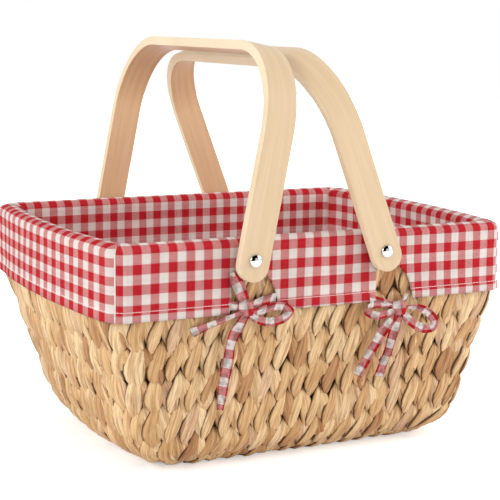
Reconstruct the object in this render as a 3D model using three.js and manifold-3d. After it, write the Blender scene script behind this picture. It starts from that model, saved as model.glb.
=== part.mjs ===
// A picnic basket: a woven body with a cloth liner folded over its rim and tied with four bows,
// and two bentwood handles that swing on rivets. Millimetres, +X along the long side, +Z up.
import * as THREE from 'three';
import { mergeVertices } from 'three/addons/utils/BufferGeometryUtils.js';
import Module from 'manifold-3d';

const wasm = await Module();
wasm.setup();

const degrees = Math.PI / 180;

// Overall size, over the liner's flap
const RIM_LENGTH = 400;
const RIM_DEPTH = 300;
const RIM_HEIGHT = 206;
const CORNER_RADIUS = 16;
const CORNER_STEPS = 6;
const END_BOW = 11;
const END_STEPS = 6;

// Gap left between pieces that touch
const CLEARANCE = 0.3;

// Cloth liner
const CLOTH = 2;
const FLAP_DROP = 62.5;
const FLAP_CORNER_RADIUS = 14;
const FOLD_RADIUS = 5;
const FOLD_STEPS = 3;
const FOLD_GAP = 1;
const LINER_STEPS = 9;

// Slits in the front and back flaps, one under each handle end
const SLIT_HOLE_RADIUS = 8;
const SLIT_TOP_WIDTH = 12;
const SLIT_BOTTOM_X = 68;
const SLIT_BOTTOM_WIDTH = 42;

// Woven wall, from its upright collar down to the rounded heel; the base stands off to the right
const WALL = 7;
const WALL_LEAN = 13.8 * degrees;
const SHOULDER_HEIGHT = 160;
const SHOULDER_RADIUS = 90;
const HEEL_RADIUS = 48;
const BASE_SHIFT = 11;
const COURSES = 8;
const COURSE_STEPS = 4;
const COURSE_BULGE = 1.2;

// Hidden frame, between the weave and the liner
const FRAME_GAP = 5;
const HOOP_RADIUS = 1.75;
const HOOP_DROP = 6.5;
const UPRIGHT_RADIUS = 1.5;
const UPRIGHT_STEPS = 12;
const UPRIGHT_X = 92;
const ROD_SIDES = 8;

// Handles; the pair is mounted a little to the left of the middle
const HANDLE_WIDTH = 27;
const HANDLE_THICKNESS = 8.2;
const HANDLE_REACH = 177.5;
const HANDLE_CORNER_RADIUS = 72;
const HANDLE_CORNER_STEPS = 10;
const LEG_TAIL = 18;
const LEG_GAP = 6;
const HANDLE_SHIFT = -7;
const PIVOT_SPREAD = 126;
const PIVOT_DROP = 17;
const LEFT_LEAN = 11.1 * degrees;
const RIGHT_LEAN = 21 * degrees;

// Rivets, spacers and washers
const SHANK_RADIUS = 2.5;
const SHANK_PLAY = 0.3;
const HEAD_RADIUS = 5.7;
const HEAD_HEIGHT = 3.2;
const HEAD_STEPS = 4;
const HEAD_TOP_RADIUS = 0.8;
const TAIL_RADIUS = 4.2;
const TAIL_LENGTH = 2.4;
const SPACER_RADIUS = 6.5;
const WASHER_RADIUS = 7;
const WASHER_THICKNESS = 1.2;
const ROUND_SIDES = 16;

// Tie bows: each strap, loop or tail is a reach from the knot, as [along X, up]
const BOW_X = 75.5;
const KNOT = { x: 8, y: 2.3, z: 6.5 };
const LOOP_THICKNESS = 4.4;
const LOOP_HEIGHT = 14;
const LOOP_OVERLAP = 3;
const RIBBON_WIDTH = 8;
const RIBBON_THICKNESS = 1.8;
const LONG_TAILED = {
  drop: 57,
  straps: [[-16, -3], [32, -3]],
  loops: [[-14, 32], [45, -11]],
  tails: [[-48, -15], [-21, -82]],
};
const EVEN_TAILED = {
  drop: 69,
  straps: [[-32, 9], [17, 9]],
  loops: [[-38, 2], [44, -17]],
  tails: [[-44, -56], [-17, -60]],
};

// Derived heights and insets; an inset is measured inward from the rim's outer box
const FLAP_BOTTOM = RIM_HEIGHT - FLAP_DROP;
const WEAVE_TOP = RIM_HEIGHT - CLOTH - FOLD_GAP;
const WEAVE_INSET = CLOTH + COURSE_BULGE + CLEARANCE;
const LINER_DEPTH = WALL + FRAME_GAP;
const LINER_INSET = WEAVE_INSET + LINER_DEPTH;
const PIVOT_Z = RIM_HEIGHT - PIVOT_DROP;

// Derived lengths along the wall's outer face, from its top edge down
const COLLAR_RUN = WEAVE_TOP - SHOULDER_HEIGHT;
const SHOULDER_RUN = SHOULDER_RADIUS * WALL_LEAN;
const SLOPE_TOP = SHOULDER_HEIGHT - SHOULDER_RADIUS * Math.sin(WALL_LEAN);
const SLOPE_BOTTOM = HEEL_RADIUS * (1 - Math.sin(WALL_LEAN));
const SLOPE_RUN = (SLOPE_TOP - SLOPE_BOTTOM) / Math.cos(WALL_LEAN);
const HEEL_RUN = HEEL_RADIUS * (Math.PI / 2 - WALL_LEAN);
const WALL_RUN = COLLAR_RUN + SHOULDER_RUN + SLOPE_RUN + HEEL_RUN;
const SLOPE_TOP_INSET = WEAVE_INSET + SHOULDER_RADIUS * (1 - Math.cos(WALL_LEAN));
const SLOPE_BOTTOM_INSET = SLOPE_TOP_INSET + SLOPE_RUN * Math.sin(WALL_LEAN);
const BASE_INSET = SLOPE_BOTTOM_INSET + HEEL_RADIUS * Math.cos(WALL_LEAN);

const weaveMaterial = new THREE.MeshStandardMaterial({ color: 0xc29a63, roughness: 0.85, metalness: 0 });
const clothMaterial = new THREE.MeshStandardMaterial({ color: 0xcf5f66, roughness: 0.95, metalness: 0 });
const birchMaterial = new THREE.MeshStandardMaterial({ color: 0xe3c796, roughness: 0.5, metalness: 0 });
const chromeMaterial = new THREE.MeshStandardMaterial({ color: 0xd8dade, roughness: 0.12, metalness: 1 });
const wireMaterial = new THREE.MeshStandardMaterial({ color: 0x8a8d90, roughness: 0.45, metalness: 1 });

const basket = new THREE.Group();
basket.name = 'picnic_basket';

function place(name, geometry, material) {
  const faceted = geometry.index ? geometry.toNonIndexed() : geometry;
  faceted.computeVertexNormals();
  const mesh = new THREE.Mesh(faceted, material);
  mesh.name = name;
  basket.add(mesh);
}

// Body joined from a row of rings with equal, even point counts; an open row is capped at both ends
// with a ladder of faces between the ring's first half and its second
function loft(rings, closed) {
  const count = rings[0].length;
  const points = rings.flat();
  const triangles = [];
  const spans = closed ? rings.length : rings.length - 1;
  for (let span = 0; span < spans; span += 1) {
    const near = span * count;
    const far = ((span + 1) % rings.length) * count;
    for (let i = 0; i < count; i += 1) {
      const next = (i + 1) % count;
      triangles.push(near + i, near + next, far + next);
      triangles.push(near + i, far + next, far + i);
    }
  }
  if (!closed) {
    const last = (rings.length - 1) * count;
    for (let i = 0; i < count / 2 - 1; i += 1) {
      const opposite = count - 1 - i;
      triangles.push(i, opposite - 1, i + 1, i, opposite, opposite - 1);
      triangles.push(last + i, last + i + 1, last + opposite - 1);
      triangles.push(last + i, last + opposite - 1, last + opposite);
    }
  }
  const geometry = new THREE.BufferGeometry();
  const coordinates = points.flatMap((p) => [p.x, p.y, p.z]);
  geometry.setAttribute('position', new THREE.Float32BufferAttribute(coordinates, 3));
  geometry.setIndex(triangles);
  return facingOut(geometry);
}

function facingOut(geometry) {
  const position = geometry.attributes.position;
  const index = geometry.index;
  const corners = [new THREE.Vector3(), new THREE.Vector3(), new THREE.Vector3()];
  let volume = 0;
  for (let i = 0; i < index.count; i += 3) {
    corners.forEach((corner, k) => corner.fromBufferAttribute(position, index.getX(i + k)));
    volume += corners[0].dot(corners[1].cross(corners[2]));
  }
  if (volume < 0) {
    index.array.reverse();
  }
  return geometry;
}

function solid(geometry) {
  const bare = geometry.clone();
  bare.deleteAttribute('normal');
  bare.deleteAttribute('uv');
  const welded = mergeVertices(bare);
  return new wasm.Manifold(new wasm.Mesh({
    numProp: 3,
    vertProperties: new Float32Array(welded.attributes.position.array),
    triVerts: new Uint32Array(welded.index.array),
  }));
}

function geometryOf(manifold) {
  const mesh = manifold.getMesh();
  const geometry = new THREE.BufferGeometry();
  geometry.setAttribute('position', new THREE.Float32BufferAttribute(mesh.vertProperties, 3));
  geometry.setIndex(Array.from(mesh.triVerts));
  return geometry;
}

function steps(count, from, to) {
  return Array.from({ length: count + 1 }, (_, i) => from + (to - from) * i / count);
}

// Point of a rounded corner of the plan: corners count from back right, anticlockwise
function cornerPoint(corner, angle, inset, radius) {
  const sideX = corner === 0 || corner === 3 ? 1 : -1;
  const sideY = corner < 2 ? 1 : -1;
  return new THREE.Vector2(
    sideX * (RIM_LENGTH / 2 - inset - radius) + radius * Math.cos(angle),
    sideY * (RIM_DEPTH / 2 - inset - radius) + radius * Math.sin(angle),
  );
}

// Point of the plan: a station is on a corner's arc, or a share of the way along to the next corner;
// the two ends bow outward, so the corners stand back from their middles
function planPoint({ corner, angle, along }, inset, radius) {
  const point = cornerPoint(corner, angle, inset, radius);
  point.lerp(cornerPoint((corner + 1) % 4, angle, inset, radius), along);
  point.x -= Math.sign(point.x) * END_BOW * (point.y / (RIM_DEPTH / 2 - inset)) ** 2;
  return point;
}

function cornerStations(corner, from, to, count) {
  return steps(count, from, to).map((angle) => ({ corner, angle, along: 0 }));
}

const quarter = Math.PI / 2;

// Stations between a corner and the next; only the bowed ends need any
function stationsAfter(corner) {
  const isEnd = corner % 2 === 1;
  const shares = isEnd ? steps(END_STEPS, 0, 1).slice(1, -1) : [];
  return shares.map((along) => ({ corner, angle: (corner + 1) * quarter, along }));
}

const allRound = [0, 1, 2, 3].flatMap((corner) => [
  ...cornerStations(corner, corner * quarter, (corner + 1) * quarter, CORNER_STEPS),
  ...stationsAfter(corner),
]);

// One side of the plan, from the middle of a corner to the middle of the next
function sideStations(side) {
  const before = (side + 3) % 4;
  const seam = CLEARANCE / FLAP_CORNER_RADIUS / 2;
  return [
    ...cornerStations(before, (before + 0.5) * quarter + seam, (before + 1) * quarter, CORNER_STEPS / 2),
    ...stationsAfter(before),
    ...cornerStations(side, side * quarter, (side + 0.5) * quarter - seam, CORNER_STEPS / 2),
  ];
}

// Point of the body, which leans: the lower it is below the flap, the further it stands off to the right
function leaning(x, y, z) {
  const below = Math.max(0, FLAP_BOTTOM - z);
  return new THREE.Vector3(x + BASE_SHIFT * below / FLAP_BOTTOM, y, z);
}

// Section points are { inset, z }, with a corner radius of their own where it isn't the wall's
function sweepPlan(section, stations, closed) {
  const rings = stations.map((station) => section.map(({ inset, z, radius = CORNER_RADIUS }) => {
    const plan = planPoint(station, inset, radius);
    return leaning(plan.x, plan.y, z);
  }));
  return loft(rings, closed);
}

function plate(inset, bottom, top) {
  const outline = allRound.map((station) => planPoint(station, inset, CORNER_RADIUS));
  const rings = [bottom, top].map((z) => outline.map((p) => leaning(p.x, p.y, z)));
  return loft(rings, false);
}

function circle(radius, sides) {
  return Array.from({ length: sides }, (_, i) => {
    const angle = 2 * Math.PI * i / sides;
    return new THREE.Vector2(radius * Math.cos(angle), radius * Math.sin(angle));
  });
}

// Point of the wall: travel runs down the outer face from its top edge, depth goes in square to it
function wallPoint(travel, depth) {
  let turn = 0;
  let inset = WEAVE_INSET;
  let z = WEAVE_TOP - travel;
  const pastCollar = travel - COLLAR_RUN;
  const pastShoulder = pastCollar - SHOULDER_RUN;
  const pastSlope = pastShoulder - SLOPE_RUN;
  if (pastSlope > 0) {
    turn = WALL_LEAN + pastSlope / HEEL_RADIUS;
    inset = BASE_INSET - HEEL_RADIUS * Math.cos(turn);
    z = HEEL_RADIUS * (1 - Math.sin(turn));
  } else if (pastShoulder > 0) {
    turn = WALL_LEAN;
    inset = SLOPE_TOP_INSET + pastShoulder * Math.sin(turn);
    z = SLOPE_TOP - pastShoulder * Math.cos(turn);
  } else if (pastCollar > 0) {
    turn = pastCollar / SHOULDER_RADIUS;
    inset = WEAVE_INSET + SHOULDER_RADIUS * (1 - Math.cos(turn));
    z = SHOULDER_HEIGHT - SHOULDER_RADIUS * Math.sin(turn);
  }
  return { inset: inset + depth * Math.cos(turn), z: z + depth * Math.sin(turn), turn };
}

// Woven courses, counted from the bottom; the collar course is plain where the rivets pass through
function courseSection(top, bottom, bulge) {
  const outer = steps(COURSE_STEPS, 0, 1).map((share) => (
    wallPoint(top + (bottom - top) * share, -bulge * Math.sin(Math.PI * share))
  ));
  const inner = steps(COURSE_STEPS, bottom, top).map((travel) => wallPoint(travel, WALL));
  return [...outer, ...inner];
}

const sides = [-1, 1];
const pivotHole = SHANK_RADIUS + SHANK_PLAY;

function pivotX(end) {
  return HANDLE_SHIFT + end * PIVOT_SPREAD / 2;
}

function throughHole(x, z, radius) {
  const length = RIM_DEPTH + 4 * (LEG_GAP + HANDLE_THICKNESS);
  return solid(new THREE.CylinderGeometry(radius, radius, length, ROUND_SIDES).translate(x, 0, z));
}

const courseRun = WALL_RUN / COURSES;
for (let course = 1; course <= COURSES; course += 1) {
  const isCollar = course === COURSES;
  const isHeel = course === 1;
  const top = (COURSES - course) * courseRun;
  const bottom = isHeel ? WALL_RUN : top + courseRun - CLEARANCE;
  let geometry = sweepPlan(courseSection(top, bottom, isCollar || isHeel ? 0 : COURSE_BULGE), allRound, true);
  if (isCollar) {
    let drilled = solid(geometry);
    for (const end of sides) {
      drilled = drilled.subtract(throughHole(pivotX(end), PIVOT_Z, pivotHole));
    }
    geometry = geometryOf(drilled);
  }
  place(`weave_course_${course}`, geometry, weaveMaterial);
}
place('woven_base', plate(BASE_INSET + CLEARANCE, 0, WALL), weaveMaterial);

// Hidden frame of rods
function hoop(inset, z) {
  const section = circle(HOOP_RADIUS, ROD_SIDES).map((p) => ({ inset: inset + p.x, z: z + p.y }));
  return sweepPlan(section, allRound, true);
}

const frameDepth = WALL + FRAME_GAP / 2;
place('rim_hoop', hoop(WEAVE_INSET + frameDepth, WEAVE_TOP - HOOP_DROP + HOOP_RADIUS), wireMaterial);
place('base_hoop', hoop(BASE_INSET + CLEARANCE + HOOP_RADIUS, frameDepth), wireMaterial);

// An upright follows the wall's inner face; toWorld turns (across, outward, up) into a world point
function upright(halfSpan, toWorld) {
  const outline = circle(UPRIGHT_RADIUS, ROD_SIDES);
  const rings = steps(UPRIGHT_STEPS, HOOP_DROP + CLEARANCE, WALL_RUN).map((travel) => {
    const { inset, z, turn } = wallPoint(travel, frameDepth);
    return outline.map((p) => toWorld(
      p.y,
      halfSpan - inset + p.x * Math.cos(turn),
      z - p.x * Math.sin(turn),
    ));
  });
  return loft(rings, false);
}

const sideNames = { '-1': { x: 'left', y: 'front' }, 1: { x: 'right', y: 'back' } };
for (const side of sides) {
  const endName = sideNames[side].x;
  place(
    `frame_upright_${endName}`,
    upright(RIM_LENGTH / 2, (across, out, up) => leaning(side * out, across, up)),
    wireMaterial,
  );
  for (const face of sides) {
    const geometry = upright(RIM_DEPTH / 2, (across, out, up) => (
      leaning(side * UPRIGHT_X + across, face * out, up)
    ));
    place(`frame_upright_${sideNames[face].y}_${endName}`, geometry, wireMaterial);
  }
}

// Liner panels: inner wall, fold over the rim and hanging flap in one piece of cloth
const foldZ = RIM_HEIGHT - FOLD_RADIUS;

function foldArc(centreInset, reach, from, to) {
  return steps(FOLD_STEPS, from, to).map((angle) => ({
    inset: centreInset - reach * Math.cos(angle),
    z: foldZ + reach * Math.sin(angle),
  }));
}

function asFlap(points) {
  return points.map((point) => ({ ...point, radius: FLAP_CORNER_RADIUS }));
}

function linerFace(depth, fromTravel, toTravel) {
  return steps(LINER_STEPS, fromTravel, toTravel).map((travel) => wallPoint(travel, depth));
}

const linerInner = LINER_INSET + CLOTH;
const linerTravel = WEAVE_TOP - foldZ + FOLD_RADIUS;
const linerSection = [
  ...asFlap([{ inset: 0, z: FLAP_BOTTOM }, ...foldArc(FOLD_RADIUS, FOLD_RADIUS, 0, quarter)]),
  ...foldArc(linerInner - FOLD_RADIUS, FOLD_RADIUS, quarter, 2 * quarter),
  ...linerFace(LINER_DEPTH + CLOTH, linerTravel, WALL_RUN),
  ...linerFace(LINER_DEPTH, WALL_RUN, linerTravel),
  ...foldArc(linerInner - FOLD_RADIUS, FOLD_RADIUS - CLOTH, 2 * quarter, quarter),
  ...asFlap([...foldArc(FOLD_RADIUS, FOLD_RADIUS - CLOTH, quarter, 0), { inset: CLOTH, z: FLAP_BOTTOM }]),
];

// Opening in a flap: a hole round the spacer that widens downward, past the flap's edge
function slit(end, face) {
  const x = pivotX(end);
  const below = FLAP_BOTTOM - CLOTH;
  const share = (PIVOT_Z - below) / (PIVOT_Z - FLAP_BOTTOM);
  const edges = sides.map((side) => {
    const top = x + side * SLIT_TOP_WIDTH / 2;
    const bottom = end * SLIT_BOTTOM_X + side * SLIT_BOTTOM_WIDTH / 2;
    return { top, below: top + (bottom - top) * share };
  });
  const outline = new THREE.Shape([
    new THREE.Vector2(edges[0].top, PIVOT_Z),
    new THREE.Vector2(edges[0].below, below),
    new THREE.Vector2(edges[1].below, below),
    new THREE.Vector2(edges[1].top, PIVOT_Z),
  ]);
  const depth = 2 * CLOTH;
  const middle = face * (RIM_DEPTH / 2 - CLOTH / 2);
  const wedge = new THREE.ExtrudeGeometry(outline, { depth, bevelEnabled: false });
  wedge.rotateX(quarter).translate(0, middle + depth / 2, 0);
  const hole = new THREE.CylinderGeometry(SLIT_HOLE_RADIUS, SLIT_HOLE_RADIUS, depth, ROUND_SIDES);
  hole.translate(x, middle, PIVOT_Z);
  return solid(wedge).add(solid(hole));
}

['right', 'back', 'left', 'front'].forEach((name, side) => {
  let geometry = sweepPlan(linerSection, sideStations(side), false);
  const face = { back: 1, front: -1 }[name];
  if (face) {
    let cut = solid(geometry);
    for (const end of sides) {
      cut = cut.subtract(slit(end, face));
    }
    geometry = geometryOf(cut);
  }
  place(`liner_${name}`, geometry, clothMaterial);
});
place('liner_floor', plate(BASE_INSET + CLEARANCE, LINER_DEPTH, LINER_DEPTH + CLOTH), clothMaterial);

// Tie bows: knot, straps, loops and tails joined, built facing the front with the knot at the origin
function reachAlong(geometry, [along, up]) {
  const length = Math.hypot(along, up);
  return geometry.translate(length / 2, 0, 0).rotateY(-Math.atan2(up, along));
}

function ribbon(reach) {
  const length = Math.hypot(...reach);
  return reachAlong(new THREE.BoxGeometry(length, RIBBON_THICKNESS, RIBBON_WIDTH), reach);
}

// The straps lie against the flap, level with the back of the knot
function bow({ straps, loops, tails }) {
  let body = solid(new THREE.SphereGeometry(1, 12, 8).scale(KNOT.x, KNOT.y, KNOT.z));
  for (const reach of loops) {
    const length = Math.hypot(...reach);
    const loop = new THREE.SphereGeometry(1, 12, 8);
    loop.scale(length / 2 + LOOP_OVERLAP, LOOP_THICKNESS / 2, LOOP_HEIGHT / 2);
    body = body.add(solid(reachAlong(loop, reach)));
  }
  for (const reach of straps) {
    body = body.add(solid(ribbon(reach).translate(0, KNOT.y - RIBBON_THICKNESS / 2, 0)));
  }
  for (const reach of tails) {
    body = body.add(solid(ribbon(reach)));
  }
  return geometryOf(body);
}

const bowY = RIM_DEPTH / 2 + KNOT.y + CLEARANCE;
for (const face of sides) {
  for (const end of sides) {
    const form = face === end ? LONG_TAILED : EVEN_TAILED;
    const geometry = bow(form).rotateZ(face > 0 ? Math.PI : 0);
    geometry.translate(end * BOW_X, face * bowY, RIM_HEIGHT - form.drop);
    place(`tie_bow_${sideNames[face].y}_${sideNames[end].x}`, geometry, clothMaterial);
  }
}

// Handles, built upright with the pivot line at the origin
const handleInner = RIM_DEPTH / 2 + LEG_GAP;
const handleOuter = handleInner + HANDLE_THICKNESS;

function archOutline() {
  const outer = HANDLE_CORNER_RADIUS;
  const inner = HANDLE_CORNER_RADIUS - HANDLE_THICKNESS;
  const bendY = handleOuter - outer;
  const bendZ = HANDLE_REACH - outer;
  const outline = new THREE.Shape();
  outline.moveTo(handleOuter, -LEG_TAIL);
  outline.absarc(bendY, bendZ, outer, 0, quarter, false);
  outline.absarc(-bendY, bendZ, outer, quarter, 2 * quarter, false);
  outline.lineTo(-handleOuter, -LEG_TAIL);
  outline.lineTo(-handleInner, -LEG_TAIL);
  outline.absarc(-bendY, bendZ, inner, 2 * quarter, quarter, true);
  outline.absarc(bendY, bendZ, inner, quarter, 0, true);
  outline.lineTo(handleInner, -LEG_TAIL);
  return outline;
}

function legOutline() {
  const half = HANDLE_WIDTH / 2;
  const outline = new THREE.Shape();
  outline.moveTo(half, HANDLE_REACH + half);
  outline.lineTo(-half, HANDLE_REACH + half);
  outline.absarc(0, half - LEG_TAIL, half, 2 * quarter, 4 * quarter, false);
  return outline;
}

function handle(lean, end) {
  const arch = new THREE.ExtrudeGeometry(archOutline(), {
    depth: 2 * HANDLE_WIDTH,
    bevelEnabled: false,
    curveSegments: HANDLE_CORNER_STEPS,
  });
  arch.translate(0, 0, -HANDLE_WIDTH);
  arch.applyMatrix4(new THREE.Matrix4().makeBasis(
    new THREE.Vector3(0, 1, 0),
    new THREE.Vector3(0, 0, 1),
    new THREE.Vector3(1, 0, 0),
  ));
  const span = 2 * (handleOuter + HANDLE_THICKNESS);
  const strip = new THREE.ExtrudeGeometry(legOutline(), {
    depth: span,
    bevelEnabled: false,
    curveSegments: HANDLE_CORNER_STEPS,
  });
  strip.rotateX(quarter).translate(0, span / 2, 0);
  const body = solid(arch).intersect(solid(strip)).subtract(throughHole(0, 0, pivotHole));
  return geometryOf(body).rotateY(lean).translate(pivotX(end), 0, PIVOT_Z);
}

place('handle_left', handle(LEFT_LEAN, -1), birchMaterial);
place('handle_right', handle(-RIGHT_LEAN, 1), birchMaterial);

// Fasteners, turned about the Y axis; profile points are [radius, outward]
function turned(profile) {
  const rings = profile.map(([radius, out]) => (
    circle(radius, ROUND_SIDES).map((p) => new THREE.Vector3(p.x, out, p.y))
  ));
  return loft(rings, false);
}

function sleeve(outerRadius, from, to) {
  const section = [[pivotHole, from], [outerRadius, from], [outerRadius, to], [pivotHole, to]];
  const rings = circle(1, ROUND_SIDES).map((p) => (
    section.map(([radius, out]) => new THREE.Vector3(radius * p.x, out, radius * p.y))
  ));
  return loft(rings, true);
}

const weaveOuter = RIM_DEPTH / 2 - WEAVE_INSET;
const weaveInner = weaveOuter - WALL;
const washerInner = weaveInner - CLEARANCE - WASHER_THICKNESS;
const tailOuter = washerInner - CLEARANCE;
const headInner = handleOuter + CLEARANCE;
const headDome = steps(HEAD_STEPS, 0, 1).map((share) => {
  const radius = HEAD_RADIUS + (HEAD_TOP_RADIUS - HEAD_RADIUS) * share;
  return [radius, headInner + HEAD_HEIGHT * Math.sqrt(1 - (radius / HEAD_RADIUS) ** 2)];
});
const rivetProfile = [
  [TAIL_RADIUS, tailOuter - TAIL_LENGTH],
  [TAIL_RADIUS, tailOuter],
  [SHANK_RADIUS, tailOuter],
  [SHANK_RADIUS, headInner],
  ...headDome,
];

for (const face of sides) {
  for (const end of sides) {
    const corner = `${sideNames[face].y}_${sideNames[end].x}`;
    const seat = (geometry) => (
      geometry.rotateZ(face > 0 ? 0 : Math.PI).translate(pivotX(end), 0, PIVOT_Z)
    );
    place(`rivet_${corner}`, seat(turned(rivetProfile)), chromeMaterial);
    const spacer = sleeve(SPACER_RADIUS, weaveOuter + CLEARANCE, handleInner - CLEARANCE);
    place(`spacer_${corner}`, seat(spacer), birchMaterial);
    const washer = sleeve(WASHER_RADIUS, washerInner, weaveInner - CLEARANCE);
    place(`washer_${corner}`, seat(washer), wireMaterial);
  }
}

export default basket;
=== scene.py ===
"""Picnic basket of plaited husk with a gingham liner, tie bows and two bentwood handles, in metres."""

import math
import random
from functools import partial

import bmesh
import bpy
from mathutils import Matrix, Vector, noise


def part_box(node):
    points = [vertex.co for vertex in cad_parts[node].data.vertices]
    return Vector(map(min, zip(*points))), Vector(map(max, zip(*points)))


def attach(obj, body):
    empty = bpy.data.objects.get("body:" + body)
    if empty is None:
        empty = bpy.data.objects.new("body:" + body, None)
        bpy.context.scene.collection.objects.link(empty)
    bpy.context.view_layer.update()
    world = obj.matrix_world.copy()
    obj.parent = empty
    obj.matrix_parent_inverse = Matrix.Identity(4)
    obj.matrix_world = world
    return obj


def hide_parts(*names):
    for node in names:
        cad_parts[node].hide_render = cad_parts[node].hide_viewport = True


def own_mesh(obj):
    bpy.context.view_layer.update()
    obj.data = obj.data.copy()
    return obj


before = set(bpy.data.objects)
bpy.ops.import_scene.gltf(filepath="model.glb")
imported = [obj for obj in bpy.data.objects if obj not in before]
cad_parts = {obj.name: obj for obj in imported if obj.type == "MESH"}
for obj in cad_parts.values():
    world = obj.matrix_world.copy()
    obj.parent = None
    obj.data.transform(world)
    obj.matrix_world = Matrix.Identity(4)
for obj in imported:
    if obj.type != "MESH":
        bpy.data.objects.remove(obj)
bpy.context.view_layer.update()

MM = 0.001
HALF_PI = math.pi / 2
chance = random.Random(11)

# Sizes read from the solids
RIM_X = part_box("liner_right")[1].x
RIM_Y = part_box("liner_back")[1].y
RIM_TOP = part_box("liner_front")[1].z
WEAVE_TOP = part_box("weave_course_8")[1].z
WEAVE_INSET = RIM_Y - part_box("weave_course_8")[1].y
BASE_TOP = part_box("woven_base")[1].z
HANDLE_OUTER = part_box("handle_left")[1].y
PIVOT_X = {side: sum(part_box(f"rivet_front_{side}"), Vector()).x / 2 for side in ("left", "right")}
PIVOT_Z = sum(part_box("rivet_front_left"), Vector()).z / 2

# Plan of the basket
CORNER_RADIUS = 16 * MM
END_BOW = 11 * MM
QUARTERS = [(x, y) for x in (-1, 1) for y in (-1, 1)]

# Woven wall, from the rim down
WALL_LEAN = math.radians(13.8)
SHOULDER_Z = 160 * MM
SHOULDER_RADIUS = 90 * MM
HEEL_RADIUS = 48 * MM
BASE_SHIFT = 11 * MM
COURSES = 8
COLLAR_RUN = WEAVE_TOP - SHOULDER_Z
SHOULDER_RUN = SHOULDER_RADIUS * WALL_LEAN
SLOPE_TOP = SHOULDER_Z - SHOULDER_RADIUS * math.sin(WALL_LEAN)
SLOPE_BOTTOM = HEEL_RADIUS * (1 - math.sin(WALL_LEAN))
SLOPE_RUN = (SLOPE_TOP - SLOPE_BOTTOM) / math.cos(WALL_LEAN)
HEEL_RUN = HEEL_RADIUS * (HALF_PI - WALL_LEAN)
WALL_RUN = COLLAR_RUN + SHOULDER_RUN + SLOPE_RUN + HEEL_RUN
COURSE = WALL_RUN / COURSES
SLOPE_TOP_INSET = WEAVE_INSET + SHOULDER_RADIUS * (1 - math.cos(WALL_LEAN))
SLOPE_BOTTOM_INSET = SLOPE_TOP_INSET + SLOPE_RUN * math.sin(WALL_LEAN)
BASE_INSET = SLOPE_BOTTOM_INSET + HEEL_RADIUS * math.cos(WALL_LEAN)

# Husk leaves of the plait
LEAF_PITCH = 8.4 * MM
UPPER_LEAF_WIDTH = 15.6 * MM
LOWER_LEAF_WIDTH = 17 * MM
CORNER_LEAF_BREADTH = 1.18
LEAF_THICKNESS = 6 * MM
UPPER_LEAF_LEAN = 1.0
LOWER_LEAF_LEAN = 0.7
LEAF_STEP = 0.48 * MM
LEAF_TOP_DEPTH = 2.4 * MM
LEAF_TIP_DEPTH = 0.4 * MM
LEAF_SIDES = 8
LEAF_RINGS = 7
LEAF_TUCK = 9 * MM
LEAF_OVERLAP = 9 * MM
LEAF_SEAT = 0.4 * MM
COLLAR_LEAF_SEAT = 1.6 * MM
BOTTOM_LIFT = 1.5 * MM
SLAB_LIFT = 3 * MM
SLAB_EDGE = 1.5 * MM
CORE_DEPTH = 4.6 * MM
CORE_THICKNESS = 1.6 * MM
CORE_COLUMNS = 44
CORE_ROWS = 40

# Form of a leaf: powers of its outline and section, then shares of its length, half width and thickness
LEAF_TOP_TAPER = 0.4
LEAF_FULLEST = 1.05
LEAF_ROUNDNESS = 0.8
LEAF_FULLNESS = 0.7
LEAF_TOP_SHARE = 0.35
LEAF_TIP_SHARE = 0.45
LEAF_BACK_SHARE = 0.4
LEAF_RIDGE = 0.9
BALL_POLE = 0.01

# Ranges that each leaf is drawn from: shares of its sizes, then degrees of roll and metres of depth
LEAF_WIDTHS = (0.85, 1.15)
LEAF_LENGTHS = (0.88, 1.06)
LEAF_SWAYS = (-0.27, 0.27)
LEAF_CURLS = (0, 0.4)
LEAF_CREASES = (0.75, 1.1)
LEAF_ROLLS = (2, 15)
LEAF_DEPTHS = (-0.3 * MM, 0.6 * MM)

# Gingham liner
CLOTH = 0.9 * MM
FLAP_DROP = 62.5 * MM
FLAP_Z = RIM_TOP - FLAP_DROP
FLAP_CORNER_RADIUS = 14 * MM
FOLD_RISE = 6.5 * MM
FOLD_HALF_WIDTH = 8.75 * MM
LINER_DEPTH = 14 * MM
HEM = 8.5 * MM
HEM_STEP = 0.5 * MM
HEM_ROWS = 3
FLAP_ROWS = 18
FOLD_ROWS = 12
LINER_ROWS = 52
SLIT_TOP_ROW = FLAP_ROWS
SLIT_COLUMNS = 18
PANEL_COLUMNS = 56
SEAM_CROWDING = 1.5
FLOOR_COLUMNS = 40
FLOOR_ROWS = 14
CHECK_WIDTH = 15.6 * MM
CHECK_HEIGHT = 16.4 * MM
CHECK_START = Vector((-109.7, 5.9)) * MM
MIDDLE_FLAP_SHIFT = Vector((7.4, 4.4)) * MM
END_CHECK_SCALE = Vector((0.85, 1.1))
END_CHECK_START = Vector((8, 0)) * MM
SHOW_THROUGH = 0.35
THREAD = 0.7 * MM
SEAM_GROOVE = 1.0 * MM
SEAM_REACH = 40 * MM
PIPING = 1.2 * MM
SEAM_WIDTH = 1.5 * MM
STITCH_HALF_WIDTH = 0.28 * MM
STITCH_PITCH = 3.2 * MM
STITCH_SHARE = 0.72

# Waves of the cloth: rates along a panel, from panel to panel and up from the hem, then heights
WAVE_RATES = (22, 3, 6)
RIPPLE_RATES = (60, 7, 25)
RUMPLE_RATE = 30
WAVE = 0.4 * MM
LOOSE_WAVE = 1.4 * MM
LOOSE_SWELL = 0.6 * MM
RIPPLE = 0.35 * MM
FLAP_LIFT = 0.5 * MM
FLOOR_RUMPLE = 0.5 * MM

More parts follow.
